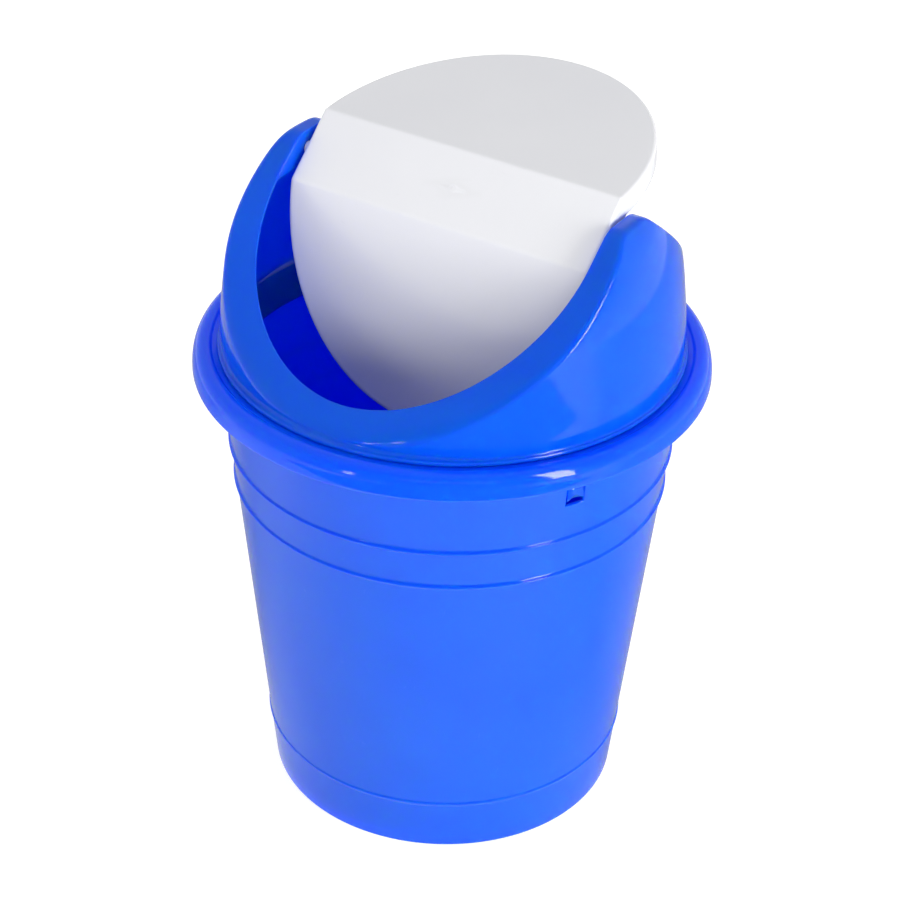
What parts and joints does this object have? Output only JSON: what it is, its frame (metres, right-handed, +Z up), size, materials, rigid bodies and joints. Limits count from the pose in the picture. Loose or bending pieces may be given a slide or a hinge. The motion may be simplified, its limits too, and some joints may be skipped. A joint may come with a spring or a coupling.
{
  "type": "swing-top wastebasket",
  "caption": "Round tapered wastebasket with a rolled rim, a domed snap-in hood open front and back, and a folded flap that swings on two trunnions.",
  "frame": {"origin": "centre of the foot ring, on the floor the wastebasket stands on", "axes": "+Z up, +X along the flap's pivot line, +Y to the back (the flap's raised side at rest)"},
  "size_m": [0.2404, 0.2404, 0.3336],
  "materials": {
    "blue_plastic": "glossy",
    "white_plastic": "glossy"
  },
  "bodies": {
    "bin": {"bucket": "blue_plastic", "hood": "blue_plastic"},
    "flap": {"flap": "white_plastic"}
  },
  "joints": [
    {"name": "flap_swing", "type": "hinge", "parent": "bin", "child": "flap", "pos_m": [0, 0, 0.3088], "axis": [1, 0, 0], "range_deg": [-122, 38]}
  ]
}
